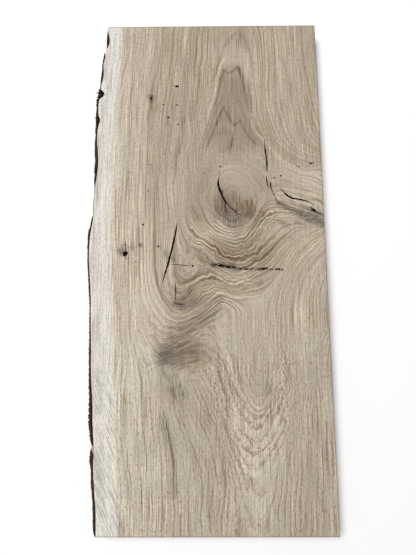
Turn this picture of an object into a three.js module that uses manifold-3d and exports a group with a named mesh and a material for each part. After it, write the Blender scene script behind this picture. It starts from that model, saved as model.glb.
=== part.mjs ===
// A live edge oak board: one plank sawn through and through from an oak log, planed on both faces.
// One long edge is sawn square. The other is the natural outside of the log, with sapwood just inside it
// and scraps of bark still grown on. The wood is one solid, and each scrap of bark is a solid of its own.
// Millimetres, +Z up. The board lies flat on its underside and its length runs along +Y.

import * as THREE from "three";
import { mergeVertices } from "three/addons/utils/BufferGeometryUtils.js";
import Module from "manifold-3d";

const LENGTH = 1000;
const THICKNESS = 40;

// Width of the top face, from the sawn edge to the live edge, at places along the board from its near end.
const TOP_WIDTH = [
  [0, 426], [40, 427.5], [80, 432], [115, 435], [150, 435.5], [190, 439], [230, 441], [265, 444.5],
  [300, 446.5], [345, 448.5], [385, 450.5], [420, 452], [455, 455], [490, 458.5], [525, 459], [550, 457.5],
  [570, 454.5], [590, 453], [615, 453.5], [640, 452.5], [665, 451], [690, 449], [712, 450.5], [735, 453.5],
  [765, 453.5], [785, 450], [803, 453], [820, 452.5], [833, 445], [845, 444], [858, 449], [885, 445.5],
  [913, 446.5], [930, 443], [942, 443.5], [955, 436.5], [970, 435], [985, 438], [1000, 439.5],
];

// The log's surface leans outwards from the top face to the underside, because the underside is nearer the pith.
const FLARE = 13;
const FLARE_WAVE = 2;
const FLARE_WAVE_LENGTH = 610;
const SIDE_BULGE = 1.2;

// Sections along the board, and levels down its live edge.
const STATION = 5;
const EDGE_LEVELS = 6;

// Bark stands off the wood by a hair and ends just short of the two planed faces.
const BARK_GAP = 0.35;
const BARK_TRIM = 0.5;
const BARK_LEVELS = 5;
const BARK_FISSURE = 0.3;
const BARK_RAGGED = 5;
const BARK_THINNEST = 0.8;

// Each scrap of bark: its name, and its thickness at places along the board.
const BARK = [
  ["bark_near_strip", [
    [0, 5], [15, 5.5], [30, 6.6], [45, 5.6], [60, 4.4], [75, 4.8], [90, 3], [105, 1.8], [115, 4.4],
    [125, 5.8], [135, 4.4], [140, 1.2],
  ]],
  ["bark_middle_strip", [
    [150, 1.5], [160, 5.4], [175, 7], [195, 7.4], [215, 7.6], [235, 6], [255, 4.6], [290, 3.6], [340, 3.2],
    [385, 2], [415, 2.6], [440, 3.6], [460, 3.8], [485, 2.8], [510, 2.6], [525, 4.4], [535, 3.6], [550, 5.4],
    [560, 4], [575, 3.8], [585, 1],
  ]],
  ["bark_upper_strip", [
    [655, 1.4], [665, 5], [680, 7], [695, 7.4], [705, 6.4], [720, 4], [740, 1.8], [755, 2.2], [765, 1],
  ]],
  ["bark_burr_strip", [
    [770, 1.4], [780, 6.6], [790, 6], [800, 2.4], [815, 2.4], [825, 5], [835, 11], [845, 13.5], [850, 9],
    [860, 2.8], [885, 3.6], [900, 2.8], [910, 0.9],
  ]],
  ["bark_sliver", [[920, 1], [925, 3.4], [930, 3.2], [940, 1]]],
  ["bark_far_flake", [[950, 1], [955, 3.8], [965, 5.6], [975, 5], [985, 2.6], [990, 1]]],
];

// Drying splits in the top face. Each place is [distance from the sawn edge, distance from the near end, width].
const LONG_SPLIT = [
  [289, 566, 0.5], [290, 554, 2.2], [294, 536, 3], [297, 521, 3], [302, 509, 3.6], [305, 494, 3.2],
  [308, 475, 1.4], [311, 462, 2.4], [316, 446, 0.5],
];
const KNOT_SPLIT = [
  [207, 655, 0.5], [208, 647, 2.8], [206, 638, 3.2], [203, 630, 2.6], [195, 611, 2.4], [187, 602, 1.6],
  [178, 593, 2], [164, 581, 0.5],
];
const KNOT_SPLIT_BRANCH = [[196, 612, 1.2], [194, 602, 1], [191, 581, 0.4]];
const UPRIGHT_SPLIT = [[113, 740, 0.4], [112, 713, 2.6], [110, 700, 2.4], [109, 671, 0.5]];
const EDGE_KNOT_SPLIT = [
  [87, 636, 0.5], [79, 631, 3], [71, 624, 2.6], [62, 617, 3], [41, 611, 2], [24, 606, 2.4], [17, 602, 0.5],
];
const OPEN_SPLIT = [[33, 601, 0.5], [22, 592, 2.2], [10, 586, 2], [-2, 582, 2.4]];
const SPLIT_DEPTH = 12;
const FINE_SPLIT_DEPTH = 7;
const CUT_ABOVE = 1;

// A rotted pin knot close to the live edge: its place, size along and across the board, and depth.
const PIN_KNOT = { fromSawnEdge: 388, fromNearEnd: 506, across: 11, along: 9.5, depth: 10 };

const OAK = new THREE.MeshStandardMaterial({ color: 0xc3a184, roughness: 0.55, metalness: 0 });
const OAK_BARK = new THREE.MeshStandardMaterial({ color: 0x55402f, roughness: 0.95, metalness: 0 });

// A smooth curve through [place, value] points: cubic pieces whose slopes come from the neighbouring points.
function smoothCurve(points) {
  const slope = (i) => {
    const before = points[Math.max(i - 1, 0)];
    const after = points[Math.min(i + 1, points.length - 1)];
    return (after[1] - before[1]) / (after[0] - before[0]);
  };
  return (place) => {
    const last = points.length - 2;
    const found = points.findIndex((p, i) => i > 0 && place <= p[0]) - 1;
    const i = found < 0 ? last : found;
    const span = points[i + 1][0] - points[i][0];
    const t = THREE.MathUtils.clamp((place - points[i][0]) / span, 0, 1);
    const rise = points[i + 1][1] - points[i][1];
    const bend = (1 - t) * (slope(i) * span - rise) - t * (slope(i + 1) * span - rise);
    return points[i][1] + rise * t + t * (1 - t) * bend;
  };
}

const topWidth = smoothCurve(TOP_WIDTH);

// Distance from the sawn edge to the live edge's surface, at a place along the board and a height in it.
function edgeReach(y, z) {
  const down = (THICKNESS - z) / THICKNESS;
  const flare = FLARE + FLARE_WAVE * Math.sin((2 * Math.PI * y) / FLARE_WAVE_LENGTH);
  return topWidth(y) + flare * down + SIDE_BULGE * Math.sin(Math.PI * down);
}

function stationsBetween(start, end) {
  const count = Math.round((end - start) / STATION);
  return Array.from({ length: count + 1 }, (_, i) => start + ((end - start) * i) / count);
}

// The triangles that close one end of a loft, facing along its path or against it. Corners in the ring's own
// order turn the same way as the ring.
function capTriangles(ring, first, facesForward) {
  const outline = ring.map((p) => new THREE.Vector2(p.x, p.z));
  const cut = ring.length === 3 ? [[0, 1, 2]] : THREE.ShapeUtils.triangulateShape(outline, []);
  return cut.flatMap((corners) => {
    const inOrder = corners.map((corner) => first + corner).sort((a, b) => a - b);
    return facesForward ? inOrder : inOrder.reverse();
  });
}

// A closed skin over rings of points that follow each other along a path. Seen from the path's far end, a ring
// runs anticlockwise.
function loft(rings) {
  const around = rings[0].length;
  const index = [];
  for (let i = 0; i + 1 < rings.length; i++) {
    for (let j = 0; j < around; j++) {
      const a = i * around + j;
      const b = i * around + ((j + 1) % around);
      index.push(a, b, b + around, a, b + around, a + around);
    }
  }
  const lastRing = rings.length - 1;
  index.push(...capTriangles(rings[0], 0, false));
  index.push(...capTriangles(rings[lastRing], lastRing * around, true));
  const geometry = new THREE.BufferGeometry().setFromPoints(rings.flat());
  geometry.setIndex(index);
  return geometry;
}

// The plank before it split: sawn edge at x = 0, live edge towards -x, near end at y = 0.
function plankGeometry() {
  const rings = stationsBetween(0, LENGTH).map((y) => {
    const liveEdge = Array.from({ length: EDGE_LEVELS }, (_, k) => {
      const z = (THICKNESS * k) / (EDGE_LEVELS - 1);
      return new THREE.Vector3(-edgeReach(y, z), y, z);
    });
    return [new THREE.Vector3(0, y, 0), ...liveEdge, new THREE.Vector3(0, y, THICKNESS)];
  });
  return loft(rings);
}

// The wedge that a split leaves open: a V across its path, wide at the face and closed at its depth.
function splitGeometry(path, depth) {
  const points = path.map(([across, along]) => new THREE.Vector2(-across, along));
  const rings = path.map(([, , width], i) => {
    const before = points[Math.max(i - 1, 0)];
    const after = points[Math.min(i + 1, path.length - 1)];
    const heading = after.clone().sub(before).normalize();
    const side = new THREE.Vector2(-heading.y, heading.x).multiplyScalar(width / 2);
    const tip = i === 0 || i === path.length - 1;
    const bottom = THICKNESS - (tip ? depth / 3 : depth);
    const at = (offset, z) => new THREE.Vector3(points[i].x + offset.x, points[i].y + offset.y, z);
    const middle = new THREE.Vector2();
    return [at(middle, bottom), at(side, THICKNESS + CUT_ABOVE), at(side.negate(), THICKNESS + CUT_ABOVE)];
  });
  return loft(rings);
}

// The bowl of the rotted pin knot.
function pinKnotGeometry() {
  const { fromSawnEdge, fromNearEnd, across, along, depth } = PIN_KNOT;
  const profile = [[0, -1], [0.35, -0.92], [0.7, -0.55], [0.9, -0.2], [1, 0], [1, CUT_ABOVE / depth]];
  const points = profile.map(([out, up]) => new THREE.Vector2(out, up));
  points.push(new THREE.Vector2(0, CUT_ABOVE / depth));
  const bowl = new THREE.LatheGeometry(points, 14);
  bowl.rotateX(Math.PI / 2);
  bowl.scale(across / 2, along / 2, depth);
  bowl.translate(-fromSawnEdge, fromNearEnd, THICKNESS);
  return bowl;
}

// A scrap of bark: its inner face follows the log's surface a hair clear of it, and its outer face is ridged.
function barkGeometry(thicknessPoints, order) {
  const thickness = smoothCurve(thicknessPoints);
  const start = thicknessPoints[0][0];
  const end = thicknessPoints[thicknessPoints.length - 1][0];
  const rings = stationsBetween(start, end).map((y) => {
    const ragged = BARK_RAGGED * Math.abs(Math.sin(0.11 * y + order) * Math.sin(0.043 * y + 2 * order));
    const lowest = BARK_TRIM + ragged;
    const highest = THICKNESS - BARK_TRIM;
    const heights = Array.from({ length: BARK_LEVELS }, (_, k) => {
      return lowest + ((highest - lowest) * k) / (BARK_LEVELS - 1);
    });
    const outer = heights.map((z) => {
      const fissure = BARK_FISSURE * Math.abs(Math.sin(0.31 * y + 0.4 * z + 1.7 * order));
      const ridged = Math.max(thickness(y) * (1 - fissure), BARK_THINNEST);
      return new THREE.Vector3(-edgeReach(y, z) - BARK_GAP - ridged, y, z);
    });
    const inner = heights.map((z) => new THREE.Vector3(-edgeReach(y, z) - BARK_GAP, y, z));
    return [...outer, ...inner.reverse()];
  });
  return loft(rings);
}

const wasm = await Module();
wasm.setup();

// A geometry as a closed solid that can be cut.
function solidOf(geometry) {
  geometry.deleteAttribute("normal");
  geometry.deleteAttribute("uv");
  const merged = mergeVertices(geometry, 1e-3);
  const vertProperties = new Float32Array(merged.attributes.position.array);
  const triVerts = new Uint32Array(merged.index.array);
  return new wasm.Manifold(new wasm.Mesh({ numProp: 3, vertProperties, triVerts }));
}

function geometryOf(solid) {
  const { vertProperties, triVerts } = solid.getMesh();
  const geometry = new THREE.BufferGeometry();
  geometry.setAttribute("position", new THREE.BufferAttribute(vertProperties, 3));
  geometry.setIndex(new THREE.BufferAttribute(triVerts, 1));
  geometry.computeVertexNormals();
  return geometry;
}

// The plank with its splits and its rotted pin knot opened.
function woodGeometry() {
  const openings = [
    splitGeometry(LONG_SPLIT, SPLIT_DEPTH),
    splitGeometry(KNOT_SPLIT, SPLIT_DEPTH),
    splitGeometry(KNOT_SPLIT_BRANCH, FINE_SPLIT_DEPTH),
    splitGeometry(UPRIGHT_SPLIT, FINE_SPLIT_DEPTH),
    splitGeometry(EDGE_KNOT_SPLIT, SPLIT_DEPTH),
    splitGeometry(OPEN_SPLIT, FINE_SPLIT_DEPTH),
    pinKnotGeometry(),
  ];
  const plank = solidOf(plankGeometry());
  return geometryOf(openings.reduce((wood, opening) => wood.subtract(solidOf(opening)), plank));
}

function namedMesh(name, geometry, material) {
  geometry.computeVertexNormals();
  const mesh = new THREE.Mesh(geometry, material);
  mesh.name = name;
  return mesh;
}

// The pieces stand in the plank's own frame, and the frame is moved so that the whole board is centred.
const pieces = new THREE.Group();
pieces.add(namedMesh("board", woodGeometry(), OAK));
BARK.forEach(([name, thicknessPoints], order) => {
  pieces.add(namedMesh(name, barkGeometry(thicknessPoints, order), OAK_BARK));
});
const extent = new THREE.Box3().setFromObject(pieces);
pieces.position.set(-(extent.min.x + extent.max.x) / 2, -LENGTH / 2, 0);

const liveEdgeOakBoard = new THREE.Group();
liveEdgeOakBoard.add(pieces);

export default liveEdgeOakBoard;
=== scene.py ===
import math

import bpy
import numpy as np
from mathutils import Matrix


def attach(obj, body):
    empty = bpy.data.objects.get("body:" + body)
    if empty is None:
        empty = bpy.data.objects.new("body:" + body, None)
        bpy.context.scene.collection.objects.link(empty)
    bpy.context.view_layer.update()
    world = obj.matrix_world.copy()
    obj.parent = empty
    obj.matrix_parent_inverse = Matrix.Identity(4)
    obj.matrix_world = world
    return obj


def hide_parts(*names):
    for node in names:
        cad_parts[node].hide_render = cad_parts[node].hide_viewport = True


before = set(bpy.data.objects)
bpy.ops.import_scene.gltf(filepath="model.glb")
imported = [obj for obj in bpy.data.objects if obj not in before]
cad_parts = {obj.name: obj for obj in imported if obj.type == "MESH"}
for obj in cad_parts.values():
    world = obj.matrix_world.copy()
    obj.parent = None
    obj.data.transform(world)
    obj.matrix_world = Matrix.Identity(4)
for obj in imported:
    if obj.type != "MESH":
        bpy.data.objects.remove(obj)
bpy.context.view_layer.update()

# The view.
# The board lies flat and is looked down on from about 0.8 m above it, with the wide lens of a phone, from
# a little past its middle towards the near end. Lengths in this file are millimetres until they go into a
# mesh or a place.
MM = 0.001
LENGTH, THICKNESS, SAWN_X = 1000, 40, 237.236
EYE_FROM_SAWN_EDGE = 223.4
EYE_ALONG = 329.4
EYE_ABOVE_FACE = 788.8
EYE_TURN = (9.281, 0.386, -0.204)
LENS = 27.05

camera = bpy.data.objects.new("camera", bpy.data.cameras.new("camera"))
camera.data.lens = LENS
camera.data.sensor_width = 36
camera.data.clip_end = 50
camera.location = (
    (SAWN_X - EYE_FROM_SAWN_EDGE) * MM,
    (EYE_ALONG - LENGTH / 2) * MM,
    (THICKNESS + EYE_ABOVE_FACE) * MM,
)
camera.rotation_euler = [math.radians(turn) for turn in EYE_TURN]
bpy.context.scene.collection.objects.link(camera)
bpy.context.scene.camera = camera


# The floor and the light.
# A white studio floor, a wide soft light from the upper left, and a weak even light from all round. The
# floor is lit to just past white, so that only the side away from the light keeps a shadow.
FLOOR_REACH = 6000
FLOOR_WHITE = (0.915, 0.915, 0.915, 1)
FLOOR_ROUGHNESS = 0.9
KEY_PLACE = (-1.95, 1.4, 5.9)
KEY_SIZE = 2.8
KEY_POWER = 408
SKY_STRENGTH = 0.26


def new_piece(name, points, faces):
    """A mesh object at the origin, from points in millimetres and faces given as point numbers."""
    mesh = bpy.data.meshes.new(name)
    mesh.from_pydata((np.asarray(points, float) * MM).tolist(), [], faces)
    piece = bpy.data.objects.new(name, mesh)
    bpy.context.scene.collection.objects.link(piece)
    return piece


floor_corners = [(-1, -1, 0), (1, -1, 0), (1, 1, 0), (-1, 1, 0)]
floor = new_piece("studio_floor", np.array(floor_corners) * FLOOR_REACH, [(0, 1, 2, 3)])
studio_white = bpy.data.materials.new("studio_white")
studio_white.use_nodes = True
floor_surface = studio_white.node_tree.nodes["Principled BSDF"]
floor_surface.inputs["Base Color"].default_value = FLOOR_WHITE
floor_surface.inputs["Roughness"].default_value = FLOOR_ROUGHNESS
floor.data.materials.append(studio_white)

key = bpy.data.objects.new("key_light", bpy.data.lights.new("key_light", "AREA"))
key.data.shape = "SQUARE"
key.data.size = KEY_SIZE
key.data.energy = KEY_POWER
key.location = KEY_PLACE
key.rotation_euler = (-key.location).to_track_quat("-Z", "Y").to_euler()
bpy.context.scene.collection.objects.link(key)

sky = bpy.data.worlds.new("soft_sky")
sky.use_nodes = True
sky.node_tree.nodes["Background"].inputs["Color"].default_value = (1, 1, 1, 1)
sky.node_tree.nodes["Background"].inputs["Strength"].default_value = SKY_STRENGTH
bpy.context.scene.world = sky
bpy.context.scene.view_settings.view_transform = "Standard"


# The plank.
# One piece of oak, sawn through and through from the log and planed on both faces. Its left edge is the
# outside of the log as it grew, fluted and leaning out below. The other three edges are sawn square with
# a worn arris. Places along the board start at its near end, with the width of its top face there.
TOP_WIDTH = [
    (0, 426), (40, 427.5), (80, 432), (115, 435), (150, 435.5), (190, 439), (230, 441), (265, 444.5),
    (300, 446.5), (345, 448.5), (385, 450.5), (420, 452), (455, 455), (490, 458.5), (525, 459),
    (550, 457.5), (570, 454.5), (590, 453), (615, 453.5), (640, 452), (665, 450), (690, 448.4),
    (712, 449.5), (735, 452), (765, 452), (778, 449.6), (786, 447.6), (796, 451.5), (810, 452.5),
    (822, 452.2), (833, 450.6), (838, 444), (844, 440.8), (850, 444), (855, 449), (862, 448.6),
    (885, 444.6), (913, 445.5), (930, 442.4), (942, 443), (955, 436.2), (970, 434.6), (985, 437.6),
    (1000, 439.2),
]
FLARE, FLARE_WAVE, FLARE_WAVE_LENGTH, SIDE_BULGE = 13, 2, 610, 1.2
ARRIS = 0.8
NOMINAL_WIDTH = 455
FINE_STEPS_ACROSS, FINE_STEPS_ALONG, STEPS_DOWN = 180, 388, 20
COARSER_BELOW = 4
FLUTE_DEPTH, FLUTE_LENGTH, FLUTE_PITCH = 0.8, 40, 6
WAVES = 12


def smooth_curve(points, places):
    """Cubic pieces through (place, value) points, with each point's slope that of a line past it, from the
    point before to the point after."""
    at, value = np.array(points, float).T
    last = len(at) - 1
    before, after = np.maximum(np.arange(last + 1) - 1, 0), np.minimum(np.arange(last + 1) + 1, last)
    slope = (value[after] - value[before]) / (at[after] - at[before])
    i = np.clip(np.searchsorted(at, places) - 1, 0, last - 1)
    span, rise = at[i + 1] - at[i], value[i + 1] - value[i]
    t = np.clip((places - at[i]) / span, 0, 1)
    bend = (1 - t) * (slope[i] * span - rise) - t * (slope[i + 1] * span - rise)
    return value[i] + rise * t + t * (1 - t) * bend


def edge_reach(along, height):
    """Distance from the sawn edge to the log's surface: the face's width, a lean outwards, a slight bulge."""
    down = (THICKNESS - height) / THICKNESS
    flare = FLARE + FLARE_WAVE * np.sin(2 * np.pi * along / FLARE_WAVE_LENGTH)
    return smooth_curve(TOP_WIDTH, along) + flare * down + SIDE_BULGE * np.sin(np.pi * down)


def ripple(x, y, length, seed):
    """Smooth noise, mostly between -1 and 1: the sum of twelve sine waves of about one length, each in a
    direction drawn at random."""
    draw = np.random.default_rng(seed)
    turn, phase = draw.uniform(0, 2 * np.pi, (2, WAVES))
    number = 2 * np.pi / (length * draw.uniform(0.6, 1.6, WAVES))
    x, y = np.broadcast_arrays(x, y)
    waves = np.sin((x[..., None] * np.cos(turn) + y[..., None] * np.sin(turn)) * number + phase)
    return waves.sum(-1) / 3


def stations(length, steps):
    """Even places from 0 to the length, with two more near each end for the rounded arris."""
    corner = np.array([0.4, 1]) * ARRIS
    middle = np.linspace(0, length, steps + 1)[1:-1]
    return np.concatenate([[0], corner, middle, length - corner[::-1], [length]])


def plank_point(across, along, height):
    """A point of the plank, with across from 0 at the sawn edge to 1 at the live edge. The arris is round
    because each point lies the arris away from a box that is smaller by as much. The live edge is fluted
    inwards."""
    across, along, height = np.broadcast_arrays(across, along, height)
    edge = edge_reach(along, height)
    raw = np.stack([-edge * across, along, height], -1)
    least = np.stack([-edge, 0 * edge, 0 * edge], -1)
    most = np.stack([0 * edge, 0 * edge + LENGTH, 0 * edge + THICKNESS], -1)
    core = np.clip(raw, least + ARRIS, most - ARRIS)
    out = raw - core
    point = core + ARRIS * out / np.maximum(np.linalg.norm(out, axis=-1, keepdims=True), 1e-9)
    flutes = np.clip(0.5 + 0.5 * ripple(along / FLUTE_LENGTH * FLUTE_PITCH, height, FLUTE_PITCH, 11), 0, 1)
    below_face = np.clip((THICKNESS - height) / 2, 0, 1)
    point[..., 0] += FLUTE_DEPTH * flutes * (across == 1) * below_face
    return point + [SAWN_X, -LENGTH / 2, 0]


def sheet_faces(rows, columns, first):
    """Four-sided faces of a grid of points that are numbered row by row from the first."""
    i, j = np.meshgrid(np.arange(rows - 1), np.arange(columns - 1), indexing="ij")
    a = (first + i * columns + j).ravel()
    return np.stack([a, a + columns, a + columns + 1, a + 1], 1).tolist()


def coarsening_faces(kept, fine_first, coarse_first):
    """Faces between a fine row of points and a coarse row below it, which holds only the kept places."""
    cells = zip(kept[:-1], kept[1:], range(len(kept) - 1))
    return [
        [coarse_first + i, coarse_first + i + 1, *range(fine_first + b, fine_first + a - 1, -1)]
        for a, b, i in cells
    ]


def side_sheet(place_at, fine, kept):
    """A side of the plank from the top down: three fine rows, then coarse ones with fewer stations."""
    top, low = heights[:3], heights[3:]
    fine_rows = place_at(fine[None], top[:, None])
    coarse_rows = place_at(fine[kept][None], low[:, None])
    below = len(top) * len(fine)
    faces = sheet_faces(len(top), len(fine), 0)
    faces += coarsening_faces(kept, below - len(fine), below)
    faces += sheet_faces(len(low), len(kept), below)
    return np.concatenate([fine_rows.reshape(-1, 3), coarse_rows.reshape(-1, 3)]), faces


def kept_stations(places):
    """The numbers of the places that the coarse rows keep: the corners' and every few between them."""
    last = len(places) - 1
    middle = list(range(2, last - 1, COARSER_BELOW))
    ends = [last - 1, last] if middle[-1] == last - 2 else [last - 2, last - 1, last]
    return np.array([0, 1, *middle, *ends])


def welded(sheets):
    """One skin from (points, faces, turned) sheets: points alike to a thousandth become one."""
    points = np.concatenate([sheet[0] for sheet in sheets])
    _, kept, number = np.unique(np.round(points * 1000), axis=0, return_index=True, return_inverse=True)
    number = number.ravel()
    faces, first = [], 0
    for sheet, loops, turned in sheets:
        faces += [[int(number[first + k]) for k in (loop[::-1] if turned else loop)] for loop in loops]
        first += len(sheet)
    return points[kept], faces


across = stations(NOMINAL_WIDTH, FINE_STEPS_ACROSS) / NOMINAL_WIDTH
along = stations(LENGTH, FINE_STEPS_ALONG)
heights = stations(THICKNESS, STEPS_DOWN)[::-1]
kept_across, kept_along = kept_stations(across), kept_stations(along)
top_face = plank_point(across[:, None], along[None], THICKNESS)
low_face = plank_point(across[kept_across][:, None], along[kept_along][None], 0)
plank_sheets = [
    (top_face.reshape(-1, 3), sheet_faces(*top_face.shape[:2], 0), True),
    (low_face.reshape(-1, 3), sheet_faces(*low_face.shape[:2], 0), False),
    (*side_sheet(lambda y, z: plank_point(1, y, z), along, kept_along), True),
    (*side_sheet(lambda y, z: plank_point(0, y, z), along, kept_along), False),
    (*side_sheet(lambda u, z: plank_point(u, 0, z), across, kept_across), True),
    (*side_sheet(lambda u, z: plank_point(u, LENGTH, z), across, kept_across), False),
]
board = new_piece("oak_board", *welded(plank_sheets))


# The plank's splits and holes.
# As the board dried it split at the knots, in jagged V-shaped clefts. Pin knots fell out and left small
# holes, and a row of dark pits crosses the curly grain. Each split is a depth and a line of (x, y, width)
# points, from the middle of the board, with x to the right and y to the far end.
SPLITS = {
    "long_split": (12, [
        (-51.5, 67, 0.8), (-52, 60, 2), (-54.5, 44, 2.9), (-57.5, 30, 3.2), (-61, 14, 3.2), (-64, 2, 3.3),
        (-66.5, -9, 3.2), (-69.5, -21, 3), (-70.5, -25, 1.8), (-72, -29, 2.8), (-75, -40, 1.9),
        (-79, -54, 0.7),
    ]),
    "knot_split": (12, [
        (32.5, 178, 0.5), (32, 160, 0.9), (30, 153, 2.4), (29.5, 145, 3.6), (32, 137, 4), (35.5, 129, 3),
        (39, 120, 2.6), (43, 111, 3.2), (48, 104, 1.8), (55, 97, 1.5), (63, 91, 1.3), (70, 84, 1),
        (78, 80, 0.6),
    ]),
    "upright_split": (12, [
        (124, 241, 0.6), (124.5, 226, 1.3), (125.5, 213, 2.5), (127, 200, 1.9), (128, 186, 2.5),
        (127.5, 172, 0.9),
    ]),
    "lower_upright_split": (7, [(126, 163, 0.8), (127, 150, 2.1), (129, 136, 0.7)]),
    "edge_knot_split": (12, [
        (151, 136, 0.5), (158, 132, 1.4), (164, 124, 3.6), (168, 121, 3), (176, 116.5, 3.4),
        (184, 115, 2.4), (197, 112.5, 2.4), (208, 108, 1.6), (220, 103, 0.4),
    ]),
    "open_split": (10, [
        (204, 101, 0.5), (211, 97, 2), (216, 92.5, 4), (222, 88, 2.2), (230, 84.5, 1.8), (240, 83, 1.6),
    ]),
    "short_split": (5, [
        (-52.5, -48, 0.4), (-53.5, -56, 1), (-52.8, -66, 1.8), (-52.5, -76, 1.4), (-52.5, -88, 0.5),
    ]),
    "curved_split": (4, [
        (134, 150, 0.8), (133.5, 143, 1.8), (137, 132, 1), (141, 122, 1), (146, 111, 0.8), (153, 104, 0.4),
    ]),
    "bark_line": (3, [(-66, -15.5, 0.4), (-52, -16.5, 1.1), (-36, -18, 1.2), (-27, -19, 0.5)]),
}
BRANCH_SPLITS = {
    "knot_branch": (5, [(40.5, 115, 1), (44, 107, 1.4), (43, 99, 1.2), (46, 90, 1), (46.5, 82, 0.5)]),
    "knot_side_branch": (4, [(60, 94, 0.6), (66, 83, 1), (72, 74, 0.5)]),
    "fine_crack": (3, [(61, 252, 0.4), (58.5, 238, 0.9), (57, 226, 0.8), (54, 211, 0.3)]),
}
# Place, half length, half width, turn in degrees and depth of each hole.
HOLES = [
    (-151, 6, 6, 4.6, 10, 9), (-54, 360, 4.6, 2.2, 12, 4), (-107, 334, 2.6, 2.2, 0, 5),
    (-82, 319, 1.6, 1.4, 0, 1.5), (-53, 318, 2.4, 1.6, 0, 4), (-71, 291, 3.4, 1.7, -8, 4),
    (-51, 275, 1.7, 1.6, 0, 4), (-161, 291, 1.3, 1.1, 0, 2), (-14, 384, 1.3, 1.1, 0, 2),
    (4, 379, 1.1, 1.2, 0, 2), (-105, 188, 1.5, 1.3, 0, 3), (-109, 133, 1.7, 1.4, 0, 3),
    (0, 170, 1.3, 1.2, 0, 2.5), (-26, 284, 1.1, 1.2, 0, 2), (-46, 215, 1.1, 1.3, 0, 2),
    (-66, 215, 0.9, 1, 0, 1.5), (34, 183, 2, 1.5, 20, 3), (192, 183, 1.8, 1.3, 10, 2.5),
    (216, 189, 4, 1.8, 5, 4), (155, 163, 2, 1.7, 30, 3), (142, 159, 1.8, 1.3, 0, 2),
    (-118, 64, 2.3, 1.9, 20, 4), (-87, 20, 2.6, 1.5, -20, 4), (-45, 28, 1.1, 0.9, 0, 1.5),
    (-20, -19, 2.4, 2, 60, 4), (-45, 2, 1.1, 0.9, 0, 1.5), (-6, -20, 1.2, 1.4, 0, 2),
    (-152, 24, 1.6, 1.2, 0, 1.2), (-131, -10, 1, 1.3, 0, 1.2), (23, -17, 4, 1.2, 5, 2.5),
    (35, -19, 6.4, 3, -6, 7), (48, -21, 5.6, 2.2, -8, 6), (59, -22, 4, 2, 0, 5), (71, -25, 3.6, 1.3, -4, 4),
    (83, -26, 3, 1.7, 0, 4), (94, -24.5, 4, 1.1, 14, 3), (108, -26, 3.4, 1.4, 14, 4),
    (117, -25, 6, 2.4, 10, 6), (131, -26.5, 4, 0.9, 12, 3), (141, -26, 3.4, 1.5, 10, 4),
    (146, -26, 2.4, 2.2, 0, 5), (152, -27, 2.2, 1.2, 30, 4),
]
ABOVE_FACE = 2
SPLIT_STEP, SPLIT_OPENED = 1.6, 1.25
# Side, part of the half width, rise above the face and part of the depth, from lip to lip of a split.
SPLIT_SECTION = [
    (1, 1, ABOVE_FACE, 0), (1, 0.9, -0.3, 0), (1, 0.5, 0, -0.5), (0, 0, 0, -1), (-1, 0.5, 0, -0.5),
    (-1, 0.9, -0.3, 0), (-1, 1, ABOVE_FACE, 0),
]
# Part of the depth and part of the width, from the mouth of a hole down.
HOLE_LEVELS = [(0.25, 0.94), (0.6, 0.72), (0.88, 0.42), (1, 0.12)]
HOLE_SIDES = 16
SPLIT_SEED, BRANCH_SEED, HOLE_SEED = 20, 60, 90


def loft(rings):
    """One closed skin over rings of points, with a flat end at each side."""
    count, sides = rings.shape[:2]
    i, j = np.meshgrid(np.arange(count - 1), np.arange(sides), indexing="ij")
    a, b = (i * sides + j).ravel(), (i * sides + (j + 1) % sides).ravel()
    faces = np.stack([a, b, b + sides, a + sides], 1).tolist()
    first_end, last_end = list(range(sides))[::-1], list(range((count - 1) * sides, count * sides))
    return rings.reshape(-1, 3), [*faces, first_end, last_end]


def split_wedge(depth, points, seed):
    """The space of a split: a V carried along a smooth line that wavers, each side of it torn in and out on
    its own. Its depth goes with the 0.6th power of its width."""
    x, y, width = np.array(points, float).T
    gone = np.concatenate([[0], np.cumsum(np.hypot(np.diff(x), np.diff(y)))])
    at = np.linspace(0, gone[-1], round(gone[-1] / SPLIT_STEP))
    line = np.stack([smooth_curve(np.stack([gone, p], 1), at) for p in (x, y)], 1)
    wide = SPLIT_OPENED * np.clip(smooth_curve(np.stack([gone, width], 1), at), 0.2, None)
    waver = np.stack([ripple(at, 0, 8, seed), ripple(at, 0, 8, seed + 9)], 1)
    line += waver * np.minimum(wide, 3)[:, None] * 0.1
    ragged = 0.07 * ripple(at, 0, 5, seed + 2)
    torn = [wide * (0.5 + 0.08 * ripple(at, 0, 14, seed + side)) + ragged for side in (1, 2)]
    ahead = np.gradient(line, axis=0)
    aside = np.stack([-ahead[:, 1], ahead[:, 0]], 1) / np.linalg.norm(ahead, axis=1, keepdims=True)
    deep = depth * (wide / wide.max()) ** 0.6
    rings = []
    for side, part, rise, drop in SPLIT_SECTION:
        off = part * (torn[0] if side > 0 else -torn[1])
        rings.append(np.column_stack([line + aside * off[:, None], THICKNESS + rise + drop * deep]))
    return loft(np.stack(rings, 1))


def hole_bowl(x, y, long, wide, turn, depth, seed):
    """The space of a hole: uneven oval rings that narrow to a blunt tip."""
    way = np.linspace(0, 2 * np.pi, HOLE_SIDES, endpoint=False)
    levels = [(ABOVE_FACE, 1.08), *((-part * depth, width) for part, width in HOLE_LEVELS)]
    uneven = 1 + 0.16 * ripple(np.cos(way), np.sin(way), 1.6, seed)
    turn = math.radians(turn)
    rings = []
    for rise, part in levels:
        u, v = long * part * uneven * np.cos(way), wide * part * uneven * np.sin(way)
        ring = [x + u * math.cos(turn) - v * math.sin(turn), y + u * math.sin(turn) + v * math.cos(turn)]
        rings.append(np.column_stack([*ring, np.full(HOLE_SIDES, THICKNESS + rise)]))
    return loft(np.stack(rings)[::-1])


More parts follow.
